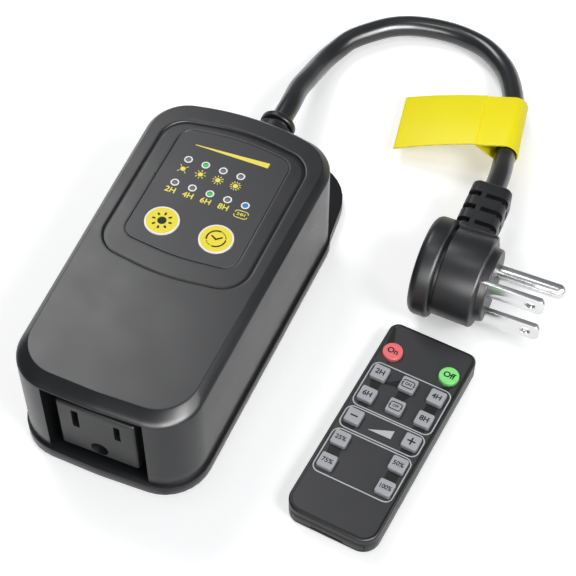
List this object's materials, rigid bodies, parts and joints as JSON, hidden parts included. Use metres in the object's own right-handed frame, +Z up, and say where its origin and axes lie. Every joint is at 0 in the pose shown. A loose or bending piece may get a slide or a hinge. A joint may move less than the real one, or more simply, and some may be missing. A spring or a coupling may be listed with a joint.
{
  "type": "plug-in dimmer",
  "caption": "Flat charcoal dimmer casing with a grounded outlet, deck buttons and indicator lights, a short cord with a grounded plug, and a flat hand remote.",
  "frame": {"origin": "on the casing's underside, at the middle of the casing's length and width", "axes": "+Z up from the underside through the deck; +Y towards the end where the cord leaves; -Y towards the end with the outlet; +X towards the side where the plug and the remote lie"},
  "size_m": [0.1334, 0.202, 0.0373],
  "materials": {
    "shell_plastic": "satin",
    "label_film": "satin",
    "button_yellow": "satin",
    "guide_clear": "gloss",
    "guide_green": "gloss",
    "guide_blue": "gloss",
    "outlet_plastic": "satin",
    "brass": "satin",
    "circuit_board": "satin",
    "black_component": "satin",
    "switch_plastic": "satin",
    "led_body": "gloss",
    "radio_blue": "satin",
    "copper": "gloss",
    "steel": "satin",
    "sink_aluminium": "satin",
    "film_yellow": "satin",
    "varistor_blue": "gloss",
    "fuse_glass": "gloss",
    "sleeve_dark": "satin",
    "lead_black": "satin",
    "lead_white": "satin",
    "lead_green": "satin",
    "cord_vinyl": "gloss",
    "plug_vinyl": "satin",
    "tag_yellow": "satin",
    "nickel": "gloss",
    "remote_plastic": "satin",
    "key_grey": "matte",
    "key_red": "matte",
    "key_green": "matte"
  },
  "bodies": {
    "casing": {"base_shell": "shell_plastic", "top_shell": "shell_plastic", "label_overlay": "label_film", "casing_screws": "steel", "light_guides_clear": "guide_clear", "light_guides_green": "guide_green", "light_guide_blue": "guide_blue", "receptacle_body": "outlet_plastic", "hot_contact": "brass", "neutral_contact": "brass", "ground_contact": "brass", "control_board": "circuit_board", "control_chip": "black_component", "tact_switches": "switch_plastic", "leds": "led_body", "radio_module": "radio_blue", "antenna_coil": "copper", "power_board": "circuit_board", "board_screws": "steel", "heat_sink": "sink_aluminium", "triac": "black_component", "choke": "copper", "film_capacitor": "film_yellow", "varistor": "varistor_blue", "fuse": "fuse_glass", "smoothing_capacitor": "sleeve_dark", "hot_leads": "lead_black", "neutral_leads": "lead_white", "ground_lead": "lead_green", "cord_gland": "plug_vinyl", "power_cord": "cord_vinyl", "cord_tag": "tag_yellow", "plug_body": "plug_vinyl", "hot_blade": "nickel", "neutral_blade": "nickel", "ground_pin": "nickel", "remote_top_case": "remote_plastic", "remote_bottom_case": "remote_plastic", "remote_key_sheet": "key_grey", "remote_board": "circuit_board", "remote_contact_clip": "brass"},
    "brightness_button": {"brightness_button": "button_yellow"},
    "timer_button": {"timer_button": "button_yellow"},
    "key_on": {"key_on": "key_red"},
    "key_off": {"key_off": "key_green"},
    "key_2h": {"key_2h": "key_grey"},
    "key_loop_on": {"key_loop_on": "key_grey"},
    "key_4h": {"key_4h": "key_grey"},
    "key_6h": {"key_6h": "key_grey"},
    "key_loop_off": {"key_loop_off": "key_grey"},
    "key_8h": {"key_8h": "key_grey"},
    "key_dimmer": {"key_dimmer": "key_grey"},
    "key_brighter": {"key_brighter": "key_grey"},
    "key_25": {"key_25": "key_grey"},
    "key_50": {"key_50": "key_grey"},
    "key_75": {"key_75": "key_grey"},
    "key_100": {"key_100": "key_grey"},
    "battery_tray": {"remote_battery_tray": "remote_plastic", "remote_cell": "steel"}
  },
  "joints": [
    {"name": "brightness_button_press", "type": "slide", "parent": "casing", "child": "brightness_button", "axis": [0, 0, -1], "range_m": [0, 0.0004], "stiffness_N_per_m": 2000},
    {"name": "timer_button_press", "type": "slide", "parent": "casing", "child": "timer_button", "axis": [0, 0, -1], "range_m": [0, 0.0004], "stiffness_N_per_m": 2000},
    {"name": "key_on_press", "type": "slide", "parent": "casing", "child": "key_on", "axis": [0, 0, -1], "range_m": [0, 0.0004], "stiffness_N_per_m": 1500},
    {"name": "key_off_press", "type": "slide", "parent": "casing", "child": "key_off", "axis": [0, 0, -1], "range_m": [0, 0.0004], "stiffness_N_per_m": 1500},
    {"name": "key_2h_press", "type": "slide", "parent": "casing", "child": "key_2h", "axis": [0, 0, -1], "range_m": [0, 0.0004], "stiffness_N_per_m": 1500},
    {"name": "key_loop_on_press", "type": "slide", "parent": "casing", "child": "key_loop_on", "axis": [0, 0, -1], "range_m": [0, 0.0004], "stiffness_N_per_m": 1500},
    {"name": "key_4h_press", "type": "slide", "parent": "casing", "child": "key_4h", "axis": [0, 0, -1], "range_m": [0, 0.0004], "stiffness_N_per_m": 1500},
    {"name": "key_6h_press", "type": "slide", "parent": "casing", "child": "key_6h", "axis": [0, 0, -1], "range_m": [0, 0.0004], "stiffness_N_per_m": 1500},
    {"name": "key_loop_off_press", "type": "slide", "parent": "casing", "child": "key_loop_off", "axis": [0, 0, -1], "range_m": [0, 0.0004], "stiffness_N_per_m": 1500},
    {"name": "key_8h_press", "type": "slide", "parent": "casing", "child": "key_8h", "axis": [0, 0, -1], "range_m": [0, 0.0004], "stiffness_N_per_m": 1500},
    {"name": "key_dimmer_press", "type": "slide", "parent": "casing", "child": "key_dimmer", "axis": [0, 0, -1], "range_m": [0, 0.0004], "stiffness_N_per_m": 1500},
    {"name": "key_brighter_press", "type": "slide", "parent": "casing", "child": "key_brighter", "axis": [0, 0, -1], "range_m": [0, 0.0004], "stiffness_N_per_m": 1500},
    {"name": "key_25_press", "type": "slide", "parent": "casing", "child": "key_25", "axis": [0, 0, -1], "range_m": [0, 0.0004], "stiffness_N_per_m": 1500},
    {"name": "key_50_press", "type": "slide", "parent": "casing", "child": "key_50", "axis": [0, 0, -1], "range_m": [0, 0.0004], "stiffness_N_per_m": 1500},
    {"name": "key_75_press", "type": "slide", "parent": "casing", "child": "key_75", "axis": [0, 0, -1], "range_m": [0, 0.0004], "stiffness_N_per_m": 1500},
    {"name": "key_100_press", "type": "slide", "parent": "casing", "child": "key_100", "axis": [0, 0, -1], "range_m": [0, 0.0004], "stiffness_N_per_m": 1500},
    {"name": "battery_tray_slide", "type": "slide", "parent": "casing", "child": "battery_tray", "axis": [-0.0906, -0.9959, 0], "range_m": [0, 0.022]}
  ]
}
